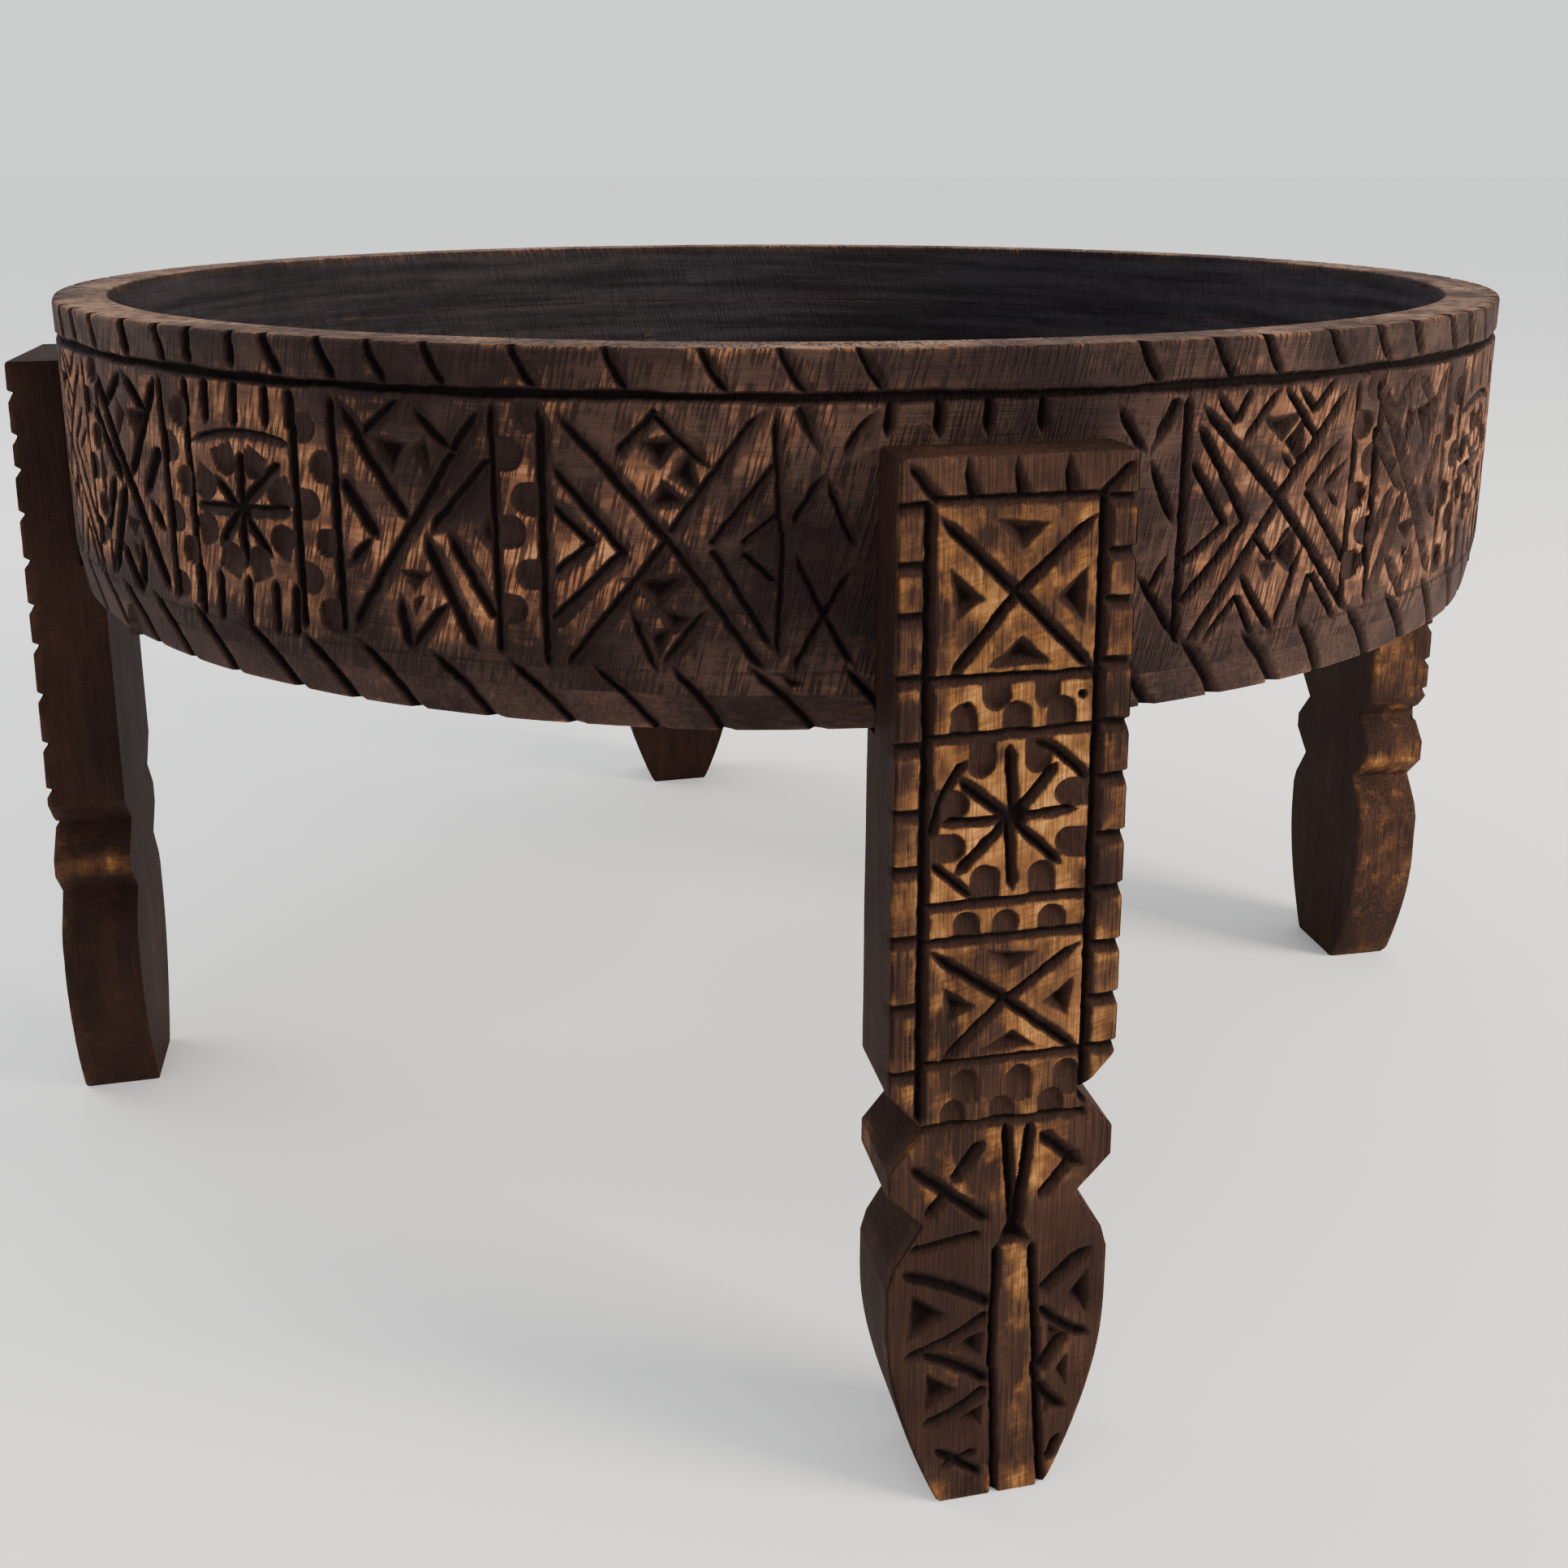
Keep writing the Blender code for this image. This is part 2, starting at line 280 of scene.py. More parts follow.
    def bare(self, u_low, u_high, v_low, v_high, amount):
        """Rubs the ridges of one area barer, or leaves them darker where the amount is below 0."""
        (u_low, v_low), (u_high, v_high) = self.place(((u_low, v_low), (u_high, v_high)), 0.0)
        u_low, u_high = min(u_low, u_high), max(u_low, u_high)
        columns = (self.u > u_low) & (self.u < u_high)
        rows = (self.v > v_low) & (self.v < v_high)
        self.rub[np.ix_(rows, columns)] += amount

    def smooth_noise(self, reach):
        noise = blur(self.random.normal(size=self.depth.shape), reach)
        return noise / noise.std()

    def settle(self):
        """Leaves the cuts as ragged as a hand leaves them, then works out the wear and the darkening: dirt
        and painted shade.
        """
        u, v = np.meshgrid(self.u, self.v)
        u, v = u + 0.13 * self.smooth_noise(3), v + 0.13 * self.smooth_noise(3)
        ragged = self.sample(self.depth, u, v)
        inside_cut = unit(ragged / 0.8)
        ragged = ragged + inside_cut * 0.10 * self.smooth_noise(1) + 0.045 * self.smooth_noise(4)
        self.depth = np.clip(ragged, 0.0, None)
        ridge = unit(1 - self.depth / 0.7)
        crowded = np.clip(0.55 * (blur(self.depth, 14) - 0.35), 0.0, 0.5)
        rub = blur(self.rub, 8)
        self.wear = unit(crowded + rub) * ridge
        self.dirt = unit(self.sample(self.shade, u, v) + 0.7 * unit(-rub))

    def at(self, u, v):
        """The depth, wear and darkening, from dirt and painted shade, at each place."""
        return [self.sample(grid, u, v) for grid in (self.depth, self.wear, self.dirt)]

    def sample(self, grid, u, v):
        """The map's value at each place, between its cells."""
        u, v = np.broadcast_arrays(u, v)
        column = np.clip((u - self.u[0]) / (self.u[1] - self.u[0]), 0, len(self.u) - 1.001)
        row = np.clip((v - self.v[0]) / (self.v[1] - self.v[0]), 0, len(self.v) - 1.001)
        i, j = row.astype(int), column.astype(int)
        a, b = row - i, column - j
        low = grid[i, j] * (1 - b) + grid[i, j + 1] * b
        high = grid[i + 1, j] * (1 - b) + grid[i + 1, j + 1] * b
        return low * (1 - a) + high * a


# The drum's carving. A point is (distance round the drum from a leg's middle, height)


def carve_left_filler(wood):
    wood.stroke(5.2, (-59, 369), (-50, 350), taper=(2, 14))
    wood.path(3.4, (-37, 366), (-47, 351))
    wood.path(3.6, (-51, 349), (-62, 330))
    wood.path(2.4, (-51, 348), (-42, 325))
    wood.path(3.2, (-61, 327), (-51, 304), (-42, 287))
    wood.path(3.6, (-42, 319), (-51, 303), (-62, 284))


def carve_right_filler(wood):
    wood.path(3.4, (40, 367), (51, 350))
    wood.stroke(4.6, (63, 367), (51, 349), taper=(2, 12))
    wood.path(3.2, (52, 349), (63, 326))
    wood.path(3.4, (49, 313), (69, 285))
    wood.path(2.8, (61, 318), (54, 304))


def carve_left_saltire(wood):
    """The wide field on the left of each leg: a cross with chevrons on both sides and chipped diamonds."""
    wood.path(3.2, (-66, 368), (-64, 330), (-65, 289))
    wood.path(3.0, (-138, 366), (-138, 284), taper=(4, 3))
    wood.path(3.6, (-70, 367), (-98, 327), (-133, 283))
    wood.path(3.8, (-134, 366), (-121, 353), (-99, 327), (-69, 286))
    wood.path(3.0, (-66, 351), (-86, 325), (-66, 292), taper=(2, 6))
    wood.path(2.6, (-65, 335), (-77, 325), (-66, 314), taper=(2, 3))
    wood.path(3.4, (-135, 350), (-112, 323), (-137, 298), taper=(4, 3))
    wood.path(3.2, (-136, 339), (-122, 325), (-136, 313), taper=(4, 3))
    wood.path(3.4, (-116, 351), (-102, 366), (-85, 349), taper=(4, 8))
    wood.chip((-112, 358), (-92, 360), (-102, 348))
    wood.chip((-92, 359), (-89, 339), (-100, 347))
    wood.chip((-101, 347), (-90, 337), (-109, 336))
    wood.bare(-136, -112, 290, 332, 0.30)
    wood.bare(-112, -104, 338, 352, 0.35)
    wood.path(2.6, (-112, 307), (-103, 285))
    wood.path(3.4, (-86, 307), (-102, 286))
    wood.chip((-116, 315), (-90, 318), (-103, 306))
    wood.chip((-104, 307), (-88, 303), (-100, 296))
    wood.chip((-109, 298), (-95, 303), (-103, 288))
    wood.stroke(4.0, (-66, 286), (-57, 282))


def carve_right_saltire(wood):
    """The wide field on the right of each leg."""
    wood.path(3.8, (66, 369), (66, 286), taper=(4, 3))
    wood.path(4.0, (71, 365), (106, 332), (148, 286))
    wood.path(4.0, (138, 365), (106, 331), (70, 285))
    wood.path(3.0, (76, 369), (86, 358), (92, 369))
    wood.path(3.2, (112, 368), (121, 359), (132, 369))
    wood.path(3.0, (105, 369), (88, 350))
    wood.path(3.2, (105, 369), (124, 348))
    wood.chip((96, 359), (116, 359), (106, 350))
    wood.chip((116, 358), (117, 338), (107, 349))
    wood.stroke(3.0, (97, 360), (105, 353))
    wood.stroke(3.0, (105, 347), (113, 340))
    wood.path(3.0, (68, 347), (83, 325), (63, 311), taper=(3, 3))
    wood.path(3.8, (70, 359), (92, 325), (66, 299), taper=(6, 3))
    wood.path(3.6, (137, 349), (120, 333), (146, 303))
    wood.path(3.0, (141, 341), (127, 331))
    wood.path(2.6, (130, 332), (138, 325))
    wood.path(3.4, (90, 309), (108, 285))
    wood.path(2.6, (120, 315), (108, 286))
    wood.path(2.6, (76, 285), (90, 300), (99, 284))
    wood.path(3.4, (118, 285), (125, 303), (141, 284))
    wood.path(2.6, (96, 320), (104, 311), (113, 321), taper=(2, 2))
    wood.chip((104, 312), (116, 321), (115, 304))
    wood.chip((98, 311), (108, 310), (102, 303))
    wood.bare(70, 146, 288, 366, 0.30)


def carve_small_saltire(wood):
    """The narrower field between the scallop columns."""
    wood.path(3.0, (-184, 368), (-202, 352))
    wood.path(3.0, (-183, 367), (-167, 352))
    wood.path(3.2, (-210, 367), (-202, 355), (-184, 328))
    wood.path(3.4, (-157, 366), (-167, 351), (-184, 326), (-208, 290))
    wood.path(3.2, (-154, 351), (-178, 325), taper=(3, 6))
    wood.path(3.8, (-180, 326), (-161, 288))
    wood.path(3.4, (-171, 328), (-154, 300), taper=(6, 2))
    wood.chip((-162, 327), (-156, 337), (-154, 318))
    wood.path(3.8, (-209, 342), (-195, 322), taper=(3, 4))
    wood.path(3.0, (-197, 323), (-209, 311))
    wood.chip((-200, 356), (-183, 354), (-191, 342))
    wood.chip((-184, 352), (-177, 357), (-175, 339))
    wood.path(3.4, (-190, 306), (-186, 286))
    wood.path(3.2, (-170, 304), (-187, 285))
    wood.chip((-190, 314), (-176, 313), (-184, 306))
    wood.chip((-186, 303), (-180, 306), (-185, 296))
    wood.bare(-210, -155, 288, 330, 0.28)
    wood.bare(-212, -195, 340, 368, 0.3)


def carve_scallops(wood, left, right, first_left, first_right):
    """A wavy ridge: half-round cuts that alternate off the two upright grooves at its edges."""
    for edge, inwards, top in ((left, 1.0, first_left), (right, -1.0, first_right)):
        wood.path(3.0, (edge, 368), (edge, 288), depth=2.6, taper=(4, 2))
        height = top
        while height > 290:
            wood.thumb((edge - 0.5 * inwards, height), (inwards, 0.0), width=10.6, length=10.4, depth=2.8)
            height -= wood.random.uniform(*SCALLOP_SPACING)
    wood.bare(left, right, 288, 350, 0.30)


def carve_rosette(wood):
    """Eight rays and a ring of gouge cuts, with short upright cuts above and below."""
    for upright in (-26, -15, 0, 15, 25):
        wood.stroke(3.2, (upright, 369), (upright, 353), taper=(2, 3))
        wood.stroke(3.2, (upright * 0.95, 304), (upright * 0.95 - 1, 284), taper=(3, 2))
    wood.stroke(2.6, (-26, 346), (26, 348), depth=2.0, bow=4.0)
    wood.path(3.4, (1, 346), (0, 325), (0, 305), taper=(2, 3))
    wood.path(3.4, (-24, 324), (0, 325), (24, 327), taper=(3, 3))
    wood.path(4.0, (20, 343), (-1, 325), (-13, 311), taper=(3, 4))
    wood.path(3.4, (-14, 337), (0, 326), (14, 311), taper=(4, 4))
    wood.pit((0, 325), 4.0, 3.0)
    for angle in range(22, 382, 45):
        out = Vector((math.cos(math.radians(angle)), math.sin(math.radians(angle))))
        reach = 23 if 40 < angle % 180 < 140 else 25
        foot = (out.x * reach, 325 + out.y * reach)
        wood.thumb(foot, (-out.x, -out.y), width=11.0, length=10.5, depth=2.8)
    wood.bare(-26, 26, 290, 368, 0.32)


def carve_bands(wood):
    """The slanted gouge cuts in the bands above and below the frieze."""
    front_tops = (-278, -255, -240, -217, -198, -178, -147, -118, -89, -65, -42, 47, 76, 96, 127, 153)
    half = CIRCUMFERENCE / 2
    place = -half + 14
    while place < half - 14:
        if place < -286 or place > 172:
            carve_top_gouge(wood, place, wood.random.uniform(5, 11))
        place += wood.random.uniform(20, 31)
    for top in front_tops:
        carve_top_gouge(wood, top, 1.0 if top < -250 else 9.0)
    for top in (-32, -17, -2, 16):
        wood.stroke(3.0, (top, 371), (top - 1, 357), taper=(1, 4))
    place = -half + 4
    while place < half - 30:
        slant = wood.random.uniform(18, 25)
        wood.clean = band_slope_power(place)
        foot = (place + slant, DRUM_BOTTOM - 3)
        wood.stroke(3.4, (place, 288.5), foot, depth=2.5, bow=1.6, taper=(7, 1))
        place += wood.random.uniform(24, 30)


def band_slope_power(place):
    """The band cuts to the right of the front leg are darker than the others, with more soot and painted
    shade.
    """
    return 1.0 if 0 < place < CIRCUMFERENCE / 4 else BARE_SLOPE


def carve_top_gouge(wood, top, slant):
    width = wood.random.uniform(2.7, 4.2)
    wood.clean = band_slope_power(top)
    wood.stroke(width, (top, RIM_HEIGHT + 3), (top + slant, 371.5), depth=2.7, bow=-1.0, taper=(1, 4))


def drum_relief():
    half = CIRCUMFERENCE / 2
    quarter = half / 2
    wood = Relief(-half, half, DRUM_BOTTOM - 2, RIM_HEIGHT + 2, seed=11)
    wood.level_line(4.2, BAND_GROOVE, 3.0)
    wood.level_line(1.3, FRIEZE_BOTTOM, 0.6)
    carve_bands(wood)
    for leg in (-half, -quarter, 0.0, quarter):
        # The fields right of each leg get darker cuts, with more of their slopes in soot and painted shade
        wood.aim(leg, blade=0.74, clean=0.8)
        carve_right_filler(wood)
        carve_right_saltire(wood)
        carve_scallops(wood, 143.5, 158.5, 352, 364)
        wood.aim(leg, mirror=True, blade=1.35)
        carve_small_saltire(wood)
        wood.aim(leg, mirror=True)
        carve_scallops(wood, -229, -212.5, 356, 343.5)
        wood.aim(leg + quarter / 2)
        carve_rosette(wood)
        wood.aim(leg + quarter, blade=1.12)
        carve_left_filler(wood)
        carve_left_saltire(wood)
        wood.aim(leg + quarter, blade=1.35)
        carve_small_saltire(wood)
        wood.aim(leg + quarter)
        carve_scallops(wood, -154, -138.5, 352, 364)
        carve_scallops(wood, -229, -212.5, 356, 343.5)
    wood.settle()
    return wood


# A leg's carving. A point is (distance from the leg's middle, height)

UP, DOWN = (0.0, 1.0), (0.0, -1.0)
LEFT_NOTCHES = (341, 323, 308, 289, 268, 247, 229, 206, 183, 160)
RIGHT_NOTCHES = (341, 325, 310, 291, 271, 254, 235, 217, 198, 180, 163)


def carve_leg_border(wood):
    for middle in (-15, 0, 16):
        wood.stroke(3.4, (middle - 2, 357), (middle + 1, 343), depth=2.6, taper=(9, 1))
        wood.chip((middle - 2, 357), (middle - 1, 344), (middle + 4, 344))
    wood.stroke(3.6, (-35, 355), (-24, 343), taper=(4, 1))
    wood.stroke(3.6, (36, 353), (25, 342), taper=(4, 1))
    for side, notches in ((-1, LEFT_NOTCHES), (1, RIGHT_NOTCHES)):
        wood.stroke(3.6, (side * 27, 343), (side * 27.5, 143), depth=2.9, taper=(1, 3))
        for height in notches:
            wood.stroke(4.2, (side * 27, height), (side * 42, height), taper=(1, 1))
    wood.bare(-40, -29, 150, 338, 0.24)
    wood.bare(29, 40, 150, 338, 0.24)


def carve_leg_saltire(wood, bottom, top):
    """A cross in a frame with a chip in each of its four fields."""
    reach = 26
    middle = (bottom + top) / 2
    rise = (top - bottom) / 52
    wood.path(3.6, (-reach, top - 1), (0, middle), (reach - 1, bottom + 1), depth=2.6)
    wood.path(3.4, (reach - 1, top - 3), (0, middle), (-reach + 5, bottom), depth=2.6)
    wood.chip((-9, top - 3), (10, top - 5), (1, top - 13 * rise))
    wood.chip((11, middle - 2), (22, middle + 8 * rise), (21, middle - 11 * rise))
    wood.chip((-21, middle + 9 * rise), (-10, middle - 1), (-20, middle - 8 * rise))
    wood.chip((2, middle - 13 * rise), (-10, bottom + 3), (12, bottom + 3))


def carve_leg_star(wood, middle):
    for end, width in (
        ((-1, 24), 3.4), ((1, -24), 3.4), ((-24, 0), 3.0), ((22, 1), 3.0),
        ((-18, 15), 3.8), ((15, 17), 3.8), ((-18, -18), 3.4), ((17, -17), 3.4),
    ):
        wood.stroke(width, (0, middle), (end[0], middle + end[1]), depth=2.6, taper=(1, 4))
    wood.pit((2, middle + 1), 4.2, 3.6)
    for foot, direction in (
        ((-10, 25), DOWN), ((8, 25), DOWN), ((-8, -25), UP), ((10, -25), UP),
        ((-25, 6), (1, 0)), ((25, 7), (-1, 0)), ((-25, -8), (1, 0)), ((25, -9), (-1, 0)),
    ):
        wood.thumb((foot[0], middle + foot[1]), direction, width=9.5, length=11.0)
    wood.stroke(3.6, (6, middle + 25), (25, middle + 10), bow=2.0, taper=(3, 3))
    wood.stroke(3.0, (-26, middle - 12), (-11, middle - 25), taper=(3, 3))
    wood.stroke(3.0, (-15, middle + 20), (-25, middle - 6), bow=-2.0, taper=(3, 3))


def carve_thumbs(wood, places, foot, direction, length=9.5):
    for place in places:
        wood.thumb((place, foot), direction, length=length)


def carve_leg_bead_and_foot(wood):
    wood.blade, wood.clean = 1.0, 1.3
    wood.stroke(2.9, (1, 140), (5, 101), depth=3.0, taper=(3, 3))
    wood.stroke(2.9, (10, 140), (6, 101), depth=3.0, taper=(3, 3))
    for width, start, end, taper in (
        (3.6, (-31, 129), (-3, 106), (4, 3)),
        (3.8, (-6, 135), (-16, 121), (3, 2)),
        (3.4, (-16, 119), (-26, 108), (2, 4)),
        (3.8, (12, 136), (28, 121), (3, 4)),
        (3.4, (27, 128), (13, 110), (4, 3)),
    ):
        wood.stroke(width, start, end, taper=taper)
    wood.chip((5, 110), (-2, 96), (11, 96), depth=4.4, slope=1.6)
    wood.path(2.2, (0, 96), (-1, 50), (1, -4), depth=2.8, taper=(2, 1))
    wood.path(2.4, (12, 96), (14, 50), (18, -4), depth=2.8, taper=(2, 1))
    for low, size in ((64, 1.0), (36, 0.9)):
        carve_eye(wood, -2.0, -1, low, size)
        carve_eye(wood, 15.5, 1, low, size)
    wood.stroke(3.0, (-20, 22), (-5, 10), taper=(3, 2))
    wood.stroke(2.4, (-19, 13), (-6, 19), taper=(3, 2))
    wood.stroke(2.6, (19, 9), (23, 20), taper=(2, 3))
    wood.stroke(2.6, (-31, 98), (-6, 101), taper=(3, 2))
    for patch in (
        (2, 14, 62, 95, 0.36), (2, 16, -4, 62, 0.22), (-30, 30, 112, 142, 0.27),
        (-40, 40, 98, 112, -0.18), (-30, 34, -4, 14, 0.32), (-24, -10, 44, 62, 0.42),
        (20, 30, 46, 66, 0.42), (-40, -3, 12, 98, -0.24), (15, 40, 12, 98, -0.24),
    ):
        wood.bare(*patch)


def foot_half(height):
    share = min(1.0, height / FOOT_HEIGHT)
    return FOOT_HALF + (LEG_HALF - FOOT_HALF) * math.sin(math.pi / 2 * share) ** FOOT_FULLNESS


def carve_eye(wood, inner, side, low, size):
    """Two slanting cuts and two three-sided chips, on one side of the foot's rib."""
    outer = side * (foot_half(low - 8 * size) - 4)
    span = outer - inner
    wood.stroke(3.8, (inner, low + 11 * size), (outer, low + 26 * size), bow=side * 1.2, taper=(2, 4))
    wood.stroke(3.4, (inner, low + 7 * size), (outer, low - 6 * size), bow=-side * 1.6, taper=(2, 4))
    wood.chip(
        (inner + 0.45 * span, low + 9 * size), (inner + 0.9 * span, low + 19 * size),
        (inner + 0.94 * span, low + 1 * size), depth=3.4,
    )
    wood.chip(
        (inner + 0.08 * span, low + 1 * size), (inner + 0.55 * span, low - 5 * size),
        (inner + 0.10 * span, low - 9 * size), depth=3.4,
    )


def leg_relief(name, seed):
    wood = Relief(-LEG_HALF - 2, LEG_HALF + 2, -4, LEG_TOP + 4, seed)
    # The legs' cuts are dark across more of their slopes: soot and painted shade
    wood.aim(0.0, mirror=name in ("right", "left"), blade=0.84, clean=1.5)
    carve_leg_border(wood)
    for height in (343, 289, 271, 217, 205, 163, 141):
        wood.stroke(3.0, (-28, height), (28, height), depth=2.3, taper=(1, 1))
    carve_leg_saltire(wood, 289, 341)
    carve_thumbs(wood, (-6, 10), 288.5, DOWN)
    carve_thumbs(wood, (-16, 1, 15), 271.5, UP, 10.5)
    wood.pit((-15, 281), 1.8, 2.0)
    wood.pit((21, 283), 1.6, 2.0)
    carve_leg_star(wood, 244)
    carve_thumbs(wood, (-14, -1, 14), 205.5, UP, 9.0)
    carve_leg_saltire(wood, 163, 204)
    carve_thumbs(wood, (-13, 5, 21), 149.0, UP, 11.5)
    carve_thumbs(wood, (-17, -1, 16), 141.0, UP, 9.5)
    carve_leg_bead_and_foot(wood)
    for low, high, amount in ((205, 292, 0.40), (163, 205, 0.27), (143, 163, 0.12), (292, 340, 0.34)):
        wood.bare(-26, 26, low, high, amount)
    wood.settle()
    return wood


# Meshes


def add_object(name, data):
    added = bpy.data.objects.new(name, data)
    bpy.context.scene.collection.objects.link(added)
    return added


def strip(points, grain, wear=0.0, dirt=0.0, inside=0.0, pale=0.0):
    """A line of a body's points, with where each lies in its plank and how its surface has fared."""
    parts = [np.broadcast_to(part, len(points))[:, None] for part in (wear, dirt, inside, pale)]
    return np.hstack([points, grain, *parts])


def bridge(fine_start, coarse_start, coarse, flip):
    """Faces between a strip with every point and one with only those in coarse."""
    faces = []
    for index, (a, b) in enumerate(zip(coarse, coarse[1:])):
        face = [*range(fine_start + a, fine_start + b + 1), coarse_start + index + 1, coarse_start + index]
        faces.append(face[::-1] if flip else face)
    return faces


def loft(name, strips, finish, coarse=()):
    """A closed body from a closed round of strips, with a cap at each end."""
    data = np.vstack(strips)
    starts = np.cumsum([0] + [len(line) for line in strips])
    quads, odd = [], []
    for index in range(len(strips)):
        following = (index + 1) % len(strips)
        here, there = starts[index], starts[following]
        count, next_count = len(strips[index]), len(strips[following])
        if count == next_count:
            step = np.arange(count - 1)
            quads.append(np.column_stack([here + step, here + step + 1, there + step + 1, there + step]))
        elif count > next_count:
            odd += bridge(here, there, coarse, flip=False)
        else:
            odd += bridge(there, here, coarse, flip=True)
    odd += [starts[:-1], starts[:0:-1] - 1]
    quads = np.vstack(quads)
    corners = np.concatenate([quads.ravel(), *[np.array(face) for face in odd]])
    sizes = np.array([4] * len(quads) + [len(face) for face in odd])

    mesh = bpy.data.meshes.new(name)
    mesh.vertices.add(len(data))
    mesh.vertices.foreach_set("co", (data[:, :3] * MM).astype(np.float32).ravel())
    mesh.loops.add(len(corners))
    mesh.loops.foreach_set("vertex_index", corners.astype(np.int32))
    mesh.polygons.add(len(sizes))
    mesh.polygons.foreach_set("loop_start", (np.cumsum(sizes) - sizes).astype(np.int32))
    mesh.update(calc_edges=True)
    mesh.validate()
    if enclosed_volume(mesh) < 0:
        mesh.flip_normals()
    mesh.shade_smooth()
    mesh.set_sharp_from_angle(angle=math.radians(SHARP_ANGLE))
    grain = mesh.attributes.new("grain", "FLOAT_VECTOR", "POINT")
    grain.data.foreach_set("vector", (data[:, 3:6] * MM).astype(np.float32).ravel())
    for column, label in enumerate(("wear", "dirt", "inside", "pale"), start=6):
        values = mesh.attributes.new(label, "FLOAT", "POINT")
        values.data.foreach_set("value", data[:, column].astype(np.float32))
    mesh.materials.append(finish)

    piece = add_object(name, mesh)
    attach(piece, "root")
    return piece


def enclosed_volume(mesh):
    mesh.calc_loop_triangles()
    points = np.empty(len(mesh.vertices) * 3)
    mesh.vertices.foreach_get("co", points)
    triangles = np.empty(len(mesh.loop_triangles) * 3, np.int32)
    mesh.loop_triangles.foreach_get("vertices", triangles)
    a, b, c = points.reshape(-1, 3)[triangles.reshape(-1, 3)].transpose(1, 0, 2)
    return np.einsum("ij,ij->i", a, np.cross(b, c)).sum()


def rounding(distance, reach):
    """How far a worn arris falls back at this distance from it."""
    return 0.5 * reach * unit(1 - distance / reach) ** 2


def steps(start, end, step):
    return np.linspace(start, end, max(2, round(abs(end - start) / step) + 1))


def around_drum(angles, radius, height):
    """Points at these angles round the drum, in radians from -Y towards +X."""
    radius, height = np.broadcast_to(radius, len(angles)), np.broadcast_to(height, len(angles))
    return np.column_stack([radius * np.sin(angles), -radius * np.cos(angles), height])


def wrapped(along):
    """A place round the drum, brought within the relief."""
    return (along + CIRCUMFERENCE / 2) % CIRCUMFERENCE - CIRCUMFERENCE / 2


def bevel_inset(height):
    return BEVEL_INSET * max(0.0, BEVEL_TOP - height) / BEVEL_HEIGHT


def drum_waves(along, height):
    """The slow unevenness of the drum's hand-finished outside."""
    turn = 2 * math.pi * along / CIRCUMFERENCE
    return 0.14 * (np.sin(31 * turn) + np.sin(13 * turn + 2.0) + np.sin(height / 17 + 19 * turn)) + 0.42


def make_wall_segment(name, relief, finish):
    start = math.radians(SEGMENT_STARTS[name.split("_", 2)[2]])
    bottom, top = node_heights(name)
    bottom, top = bottom - GAP + SEAM, top - SEAM
    count = COARSE_EVERY * round(math.pi / 2 * DRUM_RADIUS / WALL_STEP / COARSE_EVERY) + 1
    gap = SEAM / DRUM_RADIUS
    angles = np.linspace(start + gap, start + math.pi / 2 - gap, count)
    coarse = range(0, count, COARSE_EVERY)
    along = wrapped(angles * DRUM_RADIUS)
    middle = start + math.pi / 4
    grain_along = wrapped(middle * DRUM_RADIUS) + (angles - middle) * DRUM_RADIUS
    is_rim = name.startswith("wall_top")
    edge_reach = EDGE_ROUNDING if is_rim else SEAM_ROUNDING

    def line(radius, height, chosen, **finish_values):
        points = around_drum(angles[chosen], radius, height)
        grain = [grain_along[chosen], points[:, 2], np.broadcast_to(radius, len(points))]
        return strip(points, np.column_stack(grain), **finish_values)

    every = slice(None)
    strips = []
    for height in steps(bottom, top, WALL_STEP):
        edge = rounding(top - height, edge_reach) + rounding(height - bottom, SEAM_ROUNDING)
        depth, wear, dirt = relief.at(along, height)
        if is_rim:
            wear = wear + 0.45 * math.exp(-(top - height) / EDGE_FADE)
        radius = DRUM_RADIUS - bevel_inset(height) - edge - (depth + drum_waves(along, height))
        strips.append(line(radius, height, every, wear=wear, dirt=dirt))
    # The cuts' soot and painted shade run on over the rim's arris
    depth, _, soot = relief.at(along, top)
    notch = depth + drum_waves(along, top)
    for back in (0.8, 1.7, 3.0):
        drop = rounding(back, edge_reach)
        radius = DRUM_RADIUS - rounding(0.0, edge_reach) * 0.4 - back - notch * (1 - back / NOTCH_RUN)
        dirt = 0.8 * soot * max(0.0, 1 - back / 3.0)
        strips.append(line(radius, top - drop, every, wear=0.35 * math.exp(-back), dirt=dirt, pale=1.0))
    thickness = DRUM_RADIUS - INNER_RADIUS
    fine = slice(None, None, COARSE_EVERY)
    for back in (5.5, 9.0, 13.0, 17.0, thickness - 1.8, thickness - 0.8):
        radius = DRUM_RADIUS - back - notch[fine] * max(0.0, 1 - back / NOTCH_RUN)
        strips.append(line(radius, top - rounding(thickness - back, EDGE_ROUNDING), fine, pale=1.0))
    for height in steps(top - 0.8, bottom, 5.0):
        wear = 0.25 if is_rim and top - height < 1.5 else 0.0
        inside = min(1.0, (top - height) / 2) if is_rim else 1.0
        radius = INNER_RADIUS + rounding(top - height, edge_reach)
        strips.append(line(radius, height, fine, wear=wear, inside=inside))
    for back in (thickness - 6, thickness - 12, 6.0):
        strips.append(line(DRUM_RADIUS - back, bottom, fine, inside=1.0))
    low_notch = relief.at(along, bottom)[0] + drum_waves(along, bottom)
    radius = DRUM_RADIUS - bevel_inset(bottom) - 1.5 - low_notch * 0.8
    strips.append(line(radius, bottom, every, inside=1.0))
    piece = loft("carved_" + name, strips, finish, coarse)
    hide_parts(name)


